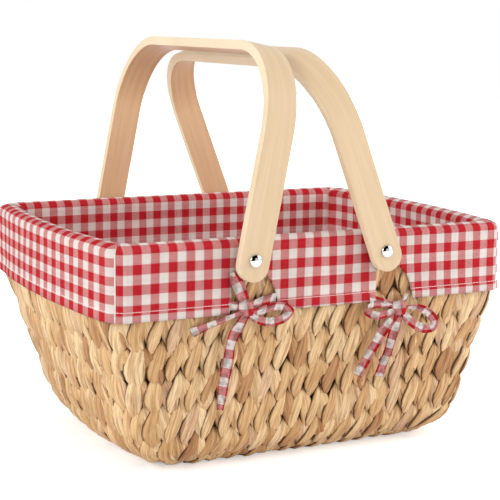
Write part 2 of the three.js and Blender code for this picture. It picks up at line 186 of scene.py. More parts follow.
# Slits for the handle legs: how far the cloth stands back from the pivot line, from the flap's edge up
SLIT_REACH = 100 * MM
SLIT_FADE = 1.3
SLIT_HOLE = 8 * MM
SLIT_HEIGHTS = [0, 7 * MM, 18 * MM, 30 * MM]
SLIT_OPENINGS = {
    "left": {-1: [16 * MM, 15 * MM, 14.5 * MM, 14 * MM], 1: [30 * MM, 29 * MM, 26 * MM, 19 * MM]},
    "right": {-1: [4 * MM, 3 * MM, 2.5 * MM, 3 * MM], 1: [35 * MM, 34 * MM, 31 * MM, 21 * MM]},
}

# Tie bows
LONG_TAIL_X = 72.6 * MM
EVEN_TAIL_X = 77 * MM
LONG_TAIL_DROP = 58 * MM
EVEN_TAIL_DROP = 69.5 * MM
TIE_WIDTH = 10 * MM
TIE_CUP = 0.9 * MM
KNOT_HALF_WIDTH = 6.4 * MM
KNOT_HALF_DEPTH = 3.5 * MM
KNOT_RADIUS = (KNOT_HALF_WIDTH + KNOT_HALF_DEPTH) / 2
KNOT_HEIGHT = 12 * MM
KNOT_SLANT = 2.5 * MM
KNOT_BARREL = 1.3
KNOT_ROWS = 16
TIE_COLUMNS = 6
TIE_STEPS = 8
TIE_CLOTH = 0.8 * MM
TIE_PHASES = (0.62, 0.9)

# Bentwood handles
HANDLE_WIDTH = 27 * MM
HANDLE_THICKNESS = 8.2 * MM
HANDLE_REACH = 177.5 * MM
HANDLE_CORNER_RADIUS = 72 * MM
LEG_TAIL = 18 * MM
HANDLE_LEG = HANDLE_REACH - HANDLE_CORNER_RADIUS + LEG_TAIL
HANDLE_BEND = HANDLE_CORNER_RADIUS * HALF_PI
HANDLE_LENGTH = 2 * (HANDLE_LEG + HANDLE_BEND + HANDLE_OUTER - HANDLE_CORNER_RADIUS)
HANDLE_EDGE = 1.1 * MM
HANDLE_ROWS = 170
HANDLE_COLUMNS = 12
HANDLE_LEAN = {"left": math.radians(11.1), "right": math.radians(-21)}

# Rivets, where the solids don't give a size
RIVET_TAIL_RADIUS = 4.2 * MM
RIVET_TAIL = 1.5 * MM
RIVET_SHANK_RADIUS = 2.5 * MM
RIVET_GAP = 0.3 * MM
RIVET_EDGE = 0.3 * MM
RIVET_RIM = 0.4 * MM
RIVET_SIDES = 40
DOME_STEPS = 10

# Distances within which points of a mesh are joined
QUARTER_MERGE = 0.05 * MM
FINE_MERGE = 0.01 * MM

# Camera as found from the photograph
CAMERA_AT = Vector((-0.608, -1.197, 0.385))
CAMERA_YAW = math.radians(27.28)
CAMERA_PITCH = math.radians(9.12)
CAMERA_ROLL = math.radians(0.66)
CAMERA_LENS = 104.6
CAMERA_SENSOR = 36

# Light from all round, against the full white that the camera sees
ROOM_LIGHT = 0.66

# Where the dark side of the room lies, as the rivets mirror it, and the cosines between which it fades in
DARK_SIDE = Vector((-0.2, -0.75, 0.5)).normalized()
DARK_FADE = (0.3, 0.72)

# Lamps as name, place and size in metres and power in watts
LAMPS = [
    ("window", (-2.3, -0.4, 1.3), 1.2, 30),
    ("fill", (1.0, -0.75, 0.75), 0.8, 6.5),
    ("low_fill", (0.6, -1.5, 0.2), 1.2, 3.5),
]
LAMP_AIM = Vector((0, 0, 0.15))

# White floor, which glows by a share near the basket and as the backdrop does further out
GROUND_TONE = 0.93
GROUND_GLOW = 0.45
GROUND_FADE = (0.3, 0.9)
GROUND_RADIUS = 6
GROUND_DROP = 0.2 * MM


def colour(red, green, blue):
    """Linear colour with alpha of an sRGB colour from 0 to 255."""
    linear = [
        level / 12.92 if level <= 0.04045 else ((level + 0.055) / 1.055) ** 2.4
        for level in (red / 255, green / 255, blue / 255)
    ]
    return (*linear, 1)


def ease(share):
    """Smooth step from 0 to 1."""
    share = min(max(share, 0), 1)
    return share * share * (3 - 2 * share)


def between(points, at):
    """Value at a place on a line through (place, value) points with rising places."""
    if at <= points[0][0]:
        return points[0][1]
    for (place, value), (next_place, next_value) in zip(points, points[1:]):
        if at <= next_place:
            return value + (next_value - value) * (at - place) / (next_place - place)
    return points[-1][1]


# Shape of the wall and its plan

def wall(travel, depth):
    """Inset from the rim and height of a point that is travel down the woven face and depth in from it."""
    past_collar = travel - COLLAR_RUN
    past_shoulder = past_collar - SHOULDER_RUN
    past_slope = past_shoulder - SLOPE_RUN
    if past_collar < 0:
        turn = 0
        inset = WEAVE_INSET
        z = WEAVE_TOP - travel
    elif past_shoulder < 0:
        turn = past_collar / SHOULDER_RADIUS
        inset = WEAVE_INSET + SHOULDER_RADIUS * (1 - math.cos(turn))
        z = SHOULDER_Z - SHOULDER_RADIUS * math.sin(turn)
    elif past_slope < 0:
        turn = WALL_LEAN
        inset = SLOPE_TOP_INSET + past_shoulder * math.sin(WALL_LEAN)
        z = SLOPE_TOP - past_shoulder * math.cos(WALL_LEAN)
    else:
        turn = min(WALL_LEAN + past_slope / HEEL_RADIUS, HALF_PI)
        inset = BASE_INSET - HEEL_RADIUS * math.cos(turn) + max(past_slope - HEEL_RUN, 0)
        z = HEEL_RADIUS * (1 - math.sin(turn))
    return inset + depth * math.cos(turn), z + depth * math.sin(turn)


def half_side(inset, radius=CORNER_RADIUS):
    """Half of the straight stretch of a long side."""
    return RIM_X - END_BOW - inset - radius


def half_end(inset, radius=CORNER_RADIUS):
    """Half of the stretch of an end between its corners."""
    return RIM_Y - inset - radius


def plan(quarter, run, inset, radius=CORNER_RADIUS):
    """Plan point of a quarter, a pair of signs; run starts where the long side meets the corner."""
    turn = min(max(run / radius, 0), HALF_PI)
    y = half_end(inset, radius) + radius * math.cos(turn) - max(run - radius * HALF_PI, 0)
    x = half_side(inset, radius) + min(run, 0) + radius * math.sin(turn)
    x += END_BOW * (1 - (y / (RIM_Y - inset)) ** 2)
    return quarter[0] * x, quarter[1] * y


def quarter_run(share, inset):
    """Run at a share of the way from the middle of the long side to the middle of the end."""
    start = -half_side(inset)
    end = CORNER_RADIUS * HALF_PI + half_end(inset)
    return start + (end - start) * share


def stand(x, y, z):
    """Point of the body, which leans: below the flap it stands off to the right."""
    return Vector((x + BASE_SHIFT * max(1 - z / FLAP_Z, 0), y, z))


# Node trees

class Tree:
    """Node tree being built; a node input is given as a value or as another node's output."""

    def __init__(self, node_tree):
        self.nodes = node_tree.nodes
        self.links = node_tree.links

    def node(self, kind, inputs=None, **settings):
        made = self.nodes.new(kind)
        for name, value in settings.items():
            setattr(made, name, value)
        for name, value in (inputs or {}).items():
            if isinstance(value, bpy.types.NodeSocket):
                self.links.new(value, made.inputs[name])
            else:
                made.inputs[name].default_value = value
        return made

    def place(self, uv_map=None):
        if uv_map:
            return self.node("ShaderNodeUVMap", uv_map=uv_map).outputs["UV"]
        return self.node("ShaderNodeTexCoord").outputs["Object"]

    def math(self, operation, first, second=0.0):
        return self.node("ShaderNodeMath", {0: first, 1: second}, operation=operation).outputs[0]

    def scaled(self, vector, factors):
        return self.node("ShaderNodeVectorMath", {0: vector, 1: factors}, operation="MULTIPLY").outputs[0]

    def noise(self, vector, scale, detail):
        inputs = {"Vector": vector, "Scale": scale, "Detail": detail}
        return self.node("ShaderNodeTexNoise", inputs).outputs[0]

    def fade(self, value, ends):
        return self.node("ShaderNodeMapRange", {0: value, 1: ends[0], 2: ends[1]}).outputs[0]

    def pick(self, share, first, second):
        return self.node("ShaderNodeMix", {0: share, 2: first, 3: second}).outputs[0]

    def mix(self, share, first, second, blend="MIX"):
        inputs = {0: share, 6: first, 7: second}
        return self.node("ShaderNodeMix", inputs, data_type="RGBA", blend_type=blend).outputs[2]

    def times(self, shade, *others):
        for other in others:
            shade = self.mix(1, shade, other, "MULTIPLY")
        return shade

    def ramp(self, value, stops):
        made = self.node("ShaderNodeValToRGB", {0: value})
        elements = made.color_ramp.elements
        while len(elements) < len(stops):
            elements.new(1)
        for element, (position, shade) in zip(elements, stops):
            element.position = position
            element.color = shade
        return made.outputs[0]

    def bump(self, height, strength, distance):
        inputs = {"Height": height, "Strength": strength, "Distance": distance}
        return self.node("ShaderNodeBump", inputs).outputs[0]


def node_group(name, **outputs):
    """New shader node group over a vector, with its tree, that vector and its output sockets."""
    group = bpy.data.node_groups.new(name, "ShaderNodeTree")
    group.interface.new_socket("Vector", in_out="INPUT", socket_type="NodeSocketVector")
    for label, kind in outputs.items():
        group.interface.new_socket(label, in_out="OUTPUT", socket_type=f"NodeSocket{kind}")
    tree = Tree(group)
    vector = tree.node("NodeGroupInput").outputs["Vector"]
    return group, tree, vector, tree.node("NodeGroupOutput").inputs


def new_material(name, roughness, specular=0.5):
    """New material with its tree and its surface shader."""
    material = bpy.data.materials.new(name)
    material.use_nodes = True
    surface = material.node_tree.nodes["Principled BSDF"]
    surface.inputs["Roughness"].default_value = roughness
    surface.inputs["Specular IOR Level"].default_value = specular
    return material, Tree(material.node_tree), surface


def grey(level):
    """Linear grey with alpha."""
    return (level, level, level, 1)


def make_grain_group():
    """Lengthwise grain: x runs across the fibres and y along them, in metres."""
    group, tree, vector, outputs = node_group("lengthwise_grain", Bands="Float", Fibres="Float")
    bands = tree.noise(tree.scaled(vector, (1, 0.07, 1)), scale=420, detail=2)
    fibres = tree.noise(tree.scaled(vector, (1, 0.05, 1)), scale=1500, detail=3)
    tree.links.new(bands, outputs["Bands"])
    tree.links.new(fibres, outputs["Fibres"])
    return group


def make_gingham_group():
    """Plain-woven gingham over cloth coordinates in metres; warp and weft take turns on top."""
    group, tree, vector, outputs = node_group("gingham_check", Color="Color", Relief="Float")
    parts = tree.node("ShaderNodeSeparateXYZ", {0: vector}).outputs
    red_share = []
    threads = []
    ridges = []
    for axis, check in (("X", CHECK_WIDTH), ("Y", CHECK_HEIGHT)):
        place = tree.math("FRACT", tree.math("DIVIDE", parts[axis], check))
        red_share.append(tree.math("LESS_THAN", place, 0.5))
        count = tree.math("DIVIDE", parts[axis], THREAD)
        threads.append(tree.math("FLOOR", count))
        ridges.append(tree.math("PINGPONG", count, 0.5))
    weft_up = tree.math("FLOORED_MODULO", tree.math("ADD", *threads), 2)
    upper = tree.pick(weft_up, *red_share)
    lower = tree.pick(weft_up, *reversed(red_share))
    dyed = tree.math("MAXIMUM", upper, tree.math("MULTIPLY", lower, SHOW_THROUGH))
    on_top = tree.pick(weft_up, *threads)
    slub = tree.node("ShaderNodeTexWhiteNoise", {"W": on_top}, noise_dimensions="1D").outputs["Value"]
    cotton = tree.ramp(slub, [(0, colour(218, 206, 200)), (1, colour(236, 226, 220))])
    red = tree.ramp(slub, [(0, colour(176, 20, 34)), (1, colour(200, 40, 48))])
    patches = tree.noise(vector, scale=45, detail=3)
    worn = tree.ramp(patches, [(0.3, grey(0.9)), (0.7, grey(1))])
    shown = tree.times(tree.mix(dyed, cotton, red), worn)
    tree.links.new(shown, outputs["Color"])
    tree.links.new(tree.math("MULTIPLY", *ridges), outputs["Relief"])
    return group


grain_group = make_grain_group()
gingham_group = make_gingham_group()


def make_husk():
    """Dry husk: each leaf has its own straw tone, lengthwise bands and fibres, and painted shade along its
    edges, where it turns in under its neighbours.
    """
    material, tree, surface = new_material("dry_husk", roughness=0.62, specular=0.35)
    edge = tree.node("ShaderNodeAttribute", attribute_name="edge").outputs["Fac"]
    leaf = tree.node("ShaderNodeAttribute", attribute_name="leaf").outputs["Vector"]
    tone = tree.node("ShaderNodeSeparateXYZ", {0: leaf}).outputs["Z"]
    grain = tree.node("ShaderNodeGroup", {"Vector": tree.scaled(leaf, (1, 1, 7))}, node_tree=grain_group)
    straw = tree.ramp(tone, [
        (0, colour(190, 140, 94)),
        (0.12, colour(220, 176, 124)),
        (0.45, colour(240, 202, 150)),
        (0.8, colour(250, 220, 174)),
        (1, colour(222, 182, 146)),
    ])
    banded = tree.ramp(grain.outputs["Bands"], [(0.3, colour(206, 184, 164)), (0.6, grey(1))])
    fibred = tree.ramp(grain.outputs["Fibres"], [(0.3, grey(0.55)), (0.46, grey(1))])
    # Painted shade: leaves darken toward their sides, where they turn in under their neighbours
    painted_edge_shade = tree.ramp(edge, [(0.78, grey(1)), (0.96, colour(98, 68, 48))])
    relief = tree.bump(grain.outputs["Fibres"], strength=0.7, distance=0.6 * MM)
    tree.links.new(tree.times(straw, banded, fibred, painted_edge_shade), surface.inputs["Base Color"])
    tree.links.new(relief, surface.inputs["Normal"])
    return material


def make_mottled(name, dark, pale, scale, detail, uv_map=None):
    """Dull stuff with mottled tones, as in the gaps between leaves and on the corner seams."""
    material, tree, surface = new_material(name, roughness=0.9)
    patches = tree.noise(tree.place(uv_map), scale, detail)
    tree.links.new(tree.ramp(patches, [(0.3, dark), (0.7, pale)]), surface.inputs["Base Color"])
    return material


def make_gingham(name, is_stitched=False, has_crease_shade=False):
    """Gingham cotton; the liner's hem has a line of white stitches, and the ties get patches of painted
    shade that stand for creases from tying.
    """
    material, tree, surface = new_material(name, roughness=0.88, specular=0.15)
    place = tree.place("cloth")
    check = tree.node("ShaderNodeGroup", {"Vector": place}, node_tree=gingham_group)
    shown = check.outputs["Color"]
    if is_stitched:
        parts = tree.node("ShaderNodeSeparateXYZ", {0: tree.place("hem")}).outputs
        on_line = tree.math("COMPARE", parts["Y"], HEM)
        on_line.node.inputs[2].default_value = STITCH_HALF_WIDTH
        step = tree.math("FRACT", tree.math("DIVIDE", parts["X"], STITCH_PITCH))
        dash = tree.math("LESS_THAN", step, STITCH_SHARE)
        shown = tree.mix(tree.math("MULTIPLY", on_line, dash), shown, colour(236, 226, 222))
    if has_crease_shade:
        # Painted shade in patches, standing for the shade in creases of the tied cloth
        crease_shade = tree.noise(place, scale=170, detail=2)
        shown = tree.times(shown, tree.ramp(crease_shade, [(0.36, grey(0.55)), (0.56, grey(1))]))
    relief = tree.bump(check.outputs["Relief"], strength=0.35, distance=0.25 * MM)
    tree.links.new(shown, surface.inputs["Base Color"])
    tree.links.new(relief, surface.inputs["Normal"])
    return material


def make_birch(name, pale, dark, uv_map="plank"):
    """Lacquered birch with its grain along the plank, or along y of a small turned piece."""
    material, tree, surface = new_material(name, roughness=0.42, specular=0.4)
    place = tree.scaled(tree.place(uv_map), (0.5, 0.25, 1))
    grain = tree.node("ShaderNodeGroup", {"Vector": place}, node_tree=grain_group)
    banded = tree.ramp(grain.outputs["Bands"], [(0.3, dark), (0.65, pale)])
    fibred = tree.ramp(grain.outputs["Fibres"], [(0.3, grey(0.95)), (0.55, grey(1))])
    relief = tree.bump(grain.outputs["Fibres"], strength=0.12, distance=0.2 * MM)
    tree.links.new(tree.times(banded, fibred), surface.inputs["Base Color"])
    tree.links.new(relief, surface.inputs["Normal"])
    return material


def make_metal(name, shade, smooth, rough):
    """Bare metal with faint wear in its polish."""
    material, tree, surface = new_material(name, roughness=rough)
    patches = tree.noise(tree.place(), scale=700, detail=3)
    wear = tree.ramp(patches, [(0.35, grey(smooth)), (0.7, grey(rough))])
    tree.links.new(wear, surface.inputs["Roughness"])
    surface.inputs["Base Color"].default_value = shade
    surface.inputs["Metallic"].default_value = 1
    return material


husk = make_husk()
# The plait's core is dark brown: painted shade for the gaps between the leaves
core = make_mottled("plait_core", colour(96, 62, 36), colour(132, 92, 58), scale=300, detail=3)
liner_cotton = make_gingham("gingham_liner", is_stitched=True)
floor_cotton = make_gingham("gingham_floor")
tie_cotton = make_gingham("gingham_tie", has_crease_shade=True)
piping = make_mottled(
    "white_cotton", colour(232, 228, 222), colour(246, 244, 240), scale=900, detail=2, uv_map="cloth"
)
birch_outer = make_birch("birch_outer", colour(226, 199, 163), colour(220, 191, 152))
birch_inner = make_birch("birch_inner", colour(231, 193, 150), colour(221, 180, 136))
birch_edge = make_birch("birch_edge", colour(240, 222, 190), colour(231, 206, 169))
birch_spacer = make_birch("birch_spacer", colour(222, 182, 142), colour(208, 164, 124), uv_map=None)
chrome = make_metal("polished_chrome", grey(0.66), smooth=0.05, rough=0.09)
wire = make_metal("drawn_steel", grey(0.55), smooth=0.3, rough=0.45)


# Building pieces

def new_mesh(name, bm):
    """Mesh made from bm, which is used up."""
    mesh = bpy.data.meshes.new(name)
    bm.to_mesh(mesh)
    bm.free()
    return mesh


def new_object(name, data):
    """Object in the scene."""
    obj = bpy.data.objects.new(name, data)
    bpy.context.scene.collection.objects.link(obj)
    return obj


def piece(name, bm, materials, body, slot, *nodes):
    """Finished mesh object from bm that rides on a body and stands for CAD nodes."""
    for face in bm.faces:
        face.smooth = True
    mesh = new_mesh(name, bm)
    for material in materials:
        mesh.materials.append(material)
    obj = new_object(name, mesh)
    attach(obj, body)
    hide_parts(*nodes)
    return obj


def add_grid(bm, layers, columns, rows, place, cuts=()):
    """Grid of cloth or wood in bm. Cuts are (column, row) pairs: the column is slit from row 0 to the row.
    Place gives the position and each layer's flat coordinates at a column, a row and a side of a cut."""
    made = bmesh.ops.create_grid(bm, x_segments=columns, y_segments=rows, size=0.5)["verts"]

    def crossing(co):
        return round((co.x + 0.5) * columns), round((co.y + 0.5) * rows)

    def on_cut(edge, column, top):
        ends = [crossing(vert.co) for vert in edge.verts]
        return all(end[0] == column and end[1] <= top for end in ends)

    edges = {edge for vert in made for edge in vert.link_edges}
    slit = [edge for edge in edges if any(on_cut(edge, *cut) for cut in cuts)]
    faces = {face for vert in made for face in vert.link_faces}
    bmesh.ops.split_edges(bm, edges=slit)
    flat = {}
    for vert in {vert for face in faces for vert in face.verts}:
        middle = sum(face.calc_center_median().x for face in vert.link_faces) / len(vert.link_faces)
        column, row = crossing(vert.co)
        side = round((middle - vert.co.x) * columns * 2)
        flat[vert] = (column, row, side)
    for vert, spot in flat.items():
        vert.co, flat[vert] = place(*spot)
    for face in faces:
        for loop in face.loops:
            for layer, uv in zip(layers, flat[loop.vert]):
                loop[layer].uv = uv
    return faces


def quartered_sheet(columns, rows, place):
    """New bmesh with a grid for each quarter, joined where they meet; place takes the quarter first."""
    bm = bmesh.new()
    layer = bm.loops.layers.uv.new("cloth")
    for quarter in QUARTERS:
        add_grid(bm, [layer], columns, rows, partial(place, quarter))
    bmesh.ops.remove_doubles(bm, verts=bm.verts, dist=QUARTER_MERGE)
    bmesh.ops.recalc_face_normals(bm, faces=bm.faces)
    return bm


def turn_faces(bm, faces, probe, direction):
    """Turns the faces over if the one nearest to the probe doesn't look along the direction."""
    nearest = min(faces, key=lambda face: (face.calc_center_median() - probe).length)
    nearest.normal_update()
    if nearest.normal.dot(direction) < 0:
        bmesh.ops.reverse_faces(bm, faces=list(faces))


def thicken(obj, thickness, offset, is_even=True):
    """Gives a sheet its thickness; an even one keeps it at sharp folds."""
    solidify = obj.modifiers.new("thickness", "SOLIDIFY")
    solidify.thickness = thickness
    solidify.offset = offset
    solidify.use_even_offset = is_even
    return solidify


# Woven courses

def leaf_spots(inset):
    """Leaf places along a quarter of a course: columns on the side and end, shared out round the corner."""
    side = half_side(inset)
    end = half_end(inset)
    side_count = math.floor(side / LEAF_PITCH)
    end_count = math.floor(end / LEAF_PITCH)
    start = side_count * LEAF_PITCH - side
    gap = CORNER_RADIUS * HALF_PI + end - end_count * LEAF_PITCH - start
    corner_count = round(gap / LEAF_PITCH)
    if (side_count + corner_count + end_count) % 2:
        corner_count += 1
    spots = [("side", (index + 0.5) * LEAF_PITCH) for index in range(side_count)]
    spots += [("corner", start + (index + 0.5) * gap / corner_count) for index in range(corner_count)]
    spots += [("end", (index + 0.5) * LEAF_PITCH) for index in reversed(range(end_count))]
    return spots


def spot_run(spot, inset):
    """Run of a leaf place at an inset, so that side and end leaves keep their columns."""
    kind, value = spot
    if kind == "side":
        return value - half_side(inset)
    if kind == "end":
        return CORNER_RADIUS * HALF_PI + half_end(inset) - value
    return value


def leaves(spots):
    """New bmesh with a leaf at each spot, given as what shape_leaf needs, each made from a ball."""
    bm = bmesh.new()
    bmesh.ops.create_uvsphere(bm, u_segments=LEAF_SIDES, v_segments=LEAF_RINGS, radius=1)
    ball = new_mesh("leaf_ball", bm)
    bm = bmesh.new()
    for _ in spots:
        bm.from_mesh(ball)
    layer = bm.verts.layers.float_vector.new("leaf")
    edge_shade_layer = bm.verts.layers.float.new("edge")
    bm.verts.ensure_lookup_table()
    size = len(ball.vertices)
    for index, spot in enumerate(spots):
        shape_leaf(bm.verts[index * size:(index + 1) * size], layer, edge_shade_layer, *spot)
    bmesh.ops.recalc_face_normals(bm, faces=bm.faces)
    bpy.data.meshes.remove(ball)
    return bm


def shape_leaf(verts, layer, edge_shade_layer, place, toward, is_upper, length, seat, breadth):
    """Shapes a ball as a pointed leaf that leans to one side, with its top and its tip tucked in."""
    tone = chance.random()
    width = (UPPER_LEAF_WIDTH if is_upper else LOWER_LEAF_WIDTH) * breadth * chance.uniform(*LEAF_WIDTHS)
    slope = UPPER_LEAF_LEAN if is_upper else LOWER_LEAF_LEAN
    roll = toward * math.radians(chance.uniform(*LEAF_ROLLS))
    sway = LEAF_PITCH * chance.uniform(*LEAF_SWAYS)
    curl = LEAF_PITCH * chance.uniform(*LEAF_CURLS)
    crease = chance.uniform(*LEAF_CREASES)
    depth = seat + (-LEAF_STEP if is_upper else LEAF_STEP) + chance.uniform(*LEAF_DEPTHS)
    for vert in verts:
        along = math.acos(min(max(vert.co.z, -1), 1)) / math.pi
        girth = math.hypot(vert.co.x, vert.co.y)
        ring = Vector((vert.co.x, vert.co.y)) / max(girth, BALL_POLE)
        spread = 0
        if BALL_POLE < along < 1 - BALL_POLE:
            spread = math.sin(math.pi * along ** LEAF_FULLEST) ** (LEAF_TOP_TAPER + along)
        across = ring.x * spread * width / 2
        bulge = math.copysign(abs(ring.y) ** LEAF_ROUNDNESS, ring.y)
        out = bulge * spread ** LEAF_FULLNESS * LEAF_THICKNESS / 2
        if ring.y < 0:
            out *= LEAF_BACK_SHARE
        elif ring.y > LEAF_RIDGE:
            out *= crease
        top_share = 1 - ease(along / LEAF_TOP_SHARE)
        tip_share = ease(1 - (1 - along) / LEAF_TIP_SHARE)
        sunk = depth + LEAF_TOP_DEPTH * top_share + LEAF_TIP_DEPTH * tip_share
        slant = LEAF_PITCH * slope * (ease(along) - 0.5)
        lean = toward * (slant + curl * math.sin(math.pi * along)) + sway * along
        vert[layer] = (across, along * length, tone)
        # Share of the way toward the leaf's side, which sets how much painted shade its edge gets
        vert[edge_shade_layer] = abs(ring.x) if spread else 1
        vert.co = place(
            lean + across * math.cos(roll) - out * math.sin(roll),
            along * length,
            across * math.sin(roll) + out * math.cos(roll) - sunk,
        )


def wall_place(quarter, spot, top, across, down, out):
    """Place on the wall about a leaf's spot: across it, down from its top and out from the face."""
    inset, z = wall(top + down, -out)
    x, y = plan(quarter, spot_run(spot, inset) + across, inset)
    return stand(x, y, max(z, 0))


def woven_course(number):
    """One course of leaves, counted from the bottom."""
    top = (COURSES - number) * COURSE
    is_collar = number >= COURSES - 1
    start = top - LEAF_TUCK if number < COURSES else top + LEAF_SEAT
    seat = COLLAR_LEAF_SEAT if is_collar else LEAF_SEAT
    length = top + COURSE + LEAF_OVERLAP - start
    inset = wall(top + COURSE / 2, 0)[0]
    row = leaf_spots(inset)
    spots = []
    kinds = [kind for kind, value in row]
    for quarter in QUARTERS:
        for index, spot in enumerate(row):
            is_by_corner = "corner" in kinds[max(index - 1, 0):index + 2]
            breadth = CORNER_LEAF_BREADTH if is_by_corner else 1
            toward = 1 if index % 2 else -1
            reach = length * chance.uniform(*LEAF_LENGTHS)
            is_upper = toward * quarter[0] * quarter[1] > 0
            place = partial(wall_place, quarter, spot, start)
            spots.append((place, toward, is_upper, reach, seat, breadth))
    bm = leaves(spots)
    piece(f"husk_course_{number}", bm, [husk], "basket", "weave", f"weave_course_{number}")


def core_place(quarter, column, row, side):
    """Place and flat coordinates on a quarter of the plait's core."""
    inset, z = wall(WALL_RUN * row / CORE_ROWS, CORE_DEPTH)
    run = quarter_run(column / CORE_COLUMNS, inset)
    x, y = plan(quarter, run, inset)
    return stand(x, y, z), [(run, z)]


def plait_core():
    """Inner face of the plait behind the leaves, painted dark brown as the shade in the gaps."""
    bm = quartered_sheet(CORE_COLUMNS, CORE_ROWS, core_place)
    turn_faces(bm, bm.faces, Vector((0, -RIM_Y, WEAVE_TOP)), Vector((0, -1, 0)))
    obj = piece("plait_core", bm, [core], "basket", "weave")
    thicken(obj, CORE_THICKNESS, -1)


def bottom_place(x, y, across, down, out):
    """Place on the underside about a leaf's spot."""
    return stand(x + across, y + LEAF_TUCK - down, max(BOTTOM_LIFT - out, 0))


def woven_bottom():
    """Flat bottom: rows of leaves under a plaited core."""
    half_x = RIM_X - BASE_INSET - END_BOW
    half_y = RIM_Y - BASE_INSET
    row_count = round(2 * half_y / COURSE)
    leaf_count = 2 * round(half_x / LEAF_PITCH)
    spots = []
    for row in range(row_count):
        for index in range(leaf_count):
            x = (index + 0.5 - leaf_count / 2) * LEAF_PITCH
            y = half_y - row * 2 * half_y / row_count
            toward = 1 if index % 2 else -1
            place = partial(bottom_place, x, y)
            spots.append((place, toward, toward > 0, COURSE + LEAF_OVERLAP, LEAF_SEAT, 1))
    bm = leaves(spots)
    slab = bmesh.ops.create_cube(bm, size=1)["verts"]
    middle = stand(0, 0, 0) + Vector((0, 0, (BASE_TOP + SLAB_LIFT) / 2))
    bmesh.ops.scale(bm, vec=(2 * half_x, 2 * half_y, BASE_TOP - SLAB_LIFT), verts=slab)
    bmesh.ops.translate(bm, vec=middle, verts=slab)
    rims = list({edge for vert in slab for edge in vert.link_edges})
    bmesh.ops.bevel(bm, geom=rims, offset=SLAB_EDGE, segments=2, profile=0.5, affect="EDGES", material=-1)
    bmesh.ops.recalc_face_normals(bm, faces=bm.faces)
    piece("husk_base", bm, [husk], "basket", "weave", "woven_base")


for number in range(1, COURSES + 1):
    woven_course(number)
plait_core()
woven_bottom()


# Liner

def liner_section():
    """Rows of a liner panel from hem to floor: (inset, height, corner radius, distance from the hem)."""
    fold_z = RIM_TOP - FOLD_RISE
    line = []
    for row in range(FLAP_ROWS):
        share = row / FLAP_ROWS
        line.append((0, FLAP_Z + (fold_z - FLAP_Z) * share, FLAP_CORNER_RADIUS))
    for row in range(FOLD_ROWS):
        turn = math.pi * row / FOLD_ROWS
        inset = FOLD_HALF_WIDTH * (1 - math.cos(turn))
        radius = FLAP_CORNER_RADIUS + (CORNER_RADIUS - FLAP_CORNER_RADIUS) * row / FOLD_ROWS
        line.append((inset, fold_z + FOLD_RISE * math.sin(turn), radius))
    start = WEAVE_TOP - fold_z
    for row in range(LINER_ROWS + 1):
        inset, z = wall(start + (WALL_RUN - start) * row / LINER_ROWS, LINER_DEPTH)
        line.append((inset, z, CORNER_RADIUS))
    rows = []
    distance = 0
    for before, (inset, z, radius) in zip([line[0], *line], line):
        distance += math.hypot(inset - before[0], z - before[1])
        rows.append((inset, z, radius, distance))
    return rows


section = liner_section()


def slit_opening(slit, side, z):
    """How far the cloth stands back from the pivot line on one side of a slit at a height."""
    low = [(FLAP_Z + height, opening) for height, opening in zip(SLIT_HEIGHTS, SLIT_OPENINGS[slit][side])]
    hole = [(PIVOT_Z - SLIT_HOLE, SLIT_HOLE), (PIVOT_Z, SLIT_HOLE), (section[SLIT_TOP_ROW][1], 0)]
    return between(low + hole, z)


def half_stations(length, slit_at):
    """Columns of half a panel as shares of the way from its middle to a seam, crowded toward the seam."""
    inner = SLIT_COLUMNS if slit_at else 0
    first = slit_at / length
    shares = [first * index / inner for index in range(inner)]
    rest = PANEL_COLUMNS - inner
    for index in range(rest + 1):
        shares.append(first + (1 - first) * (1 - (1 - index / rest) ** SEAM_CROWDING))
    return shares


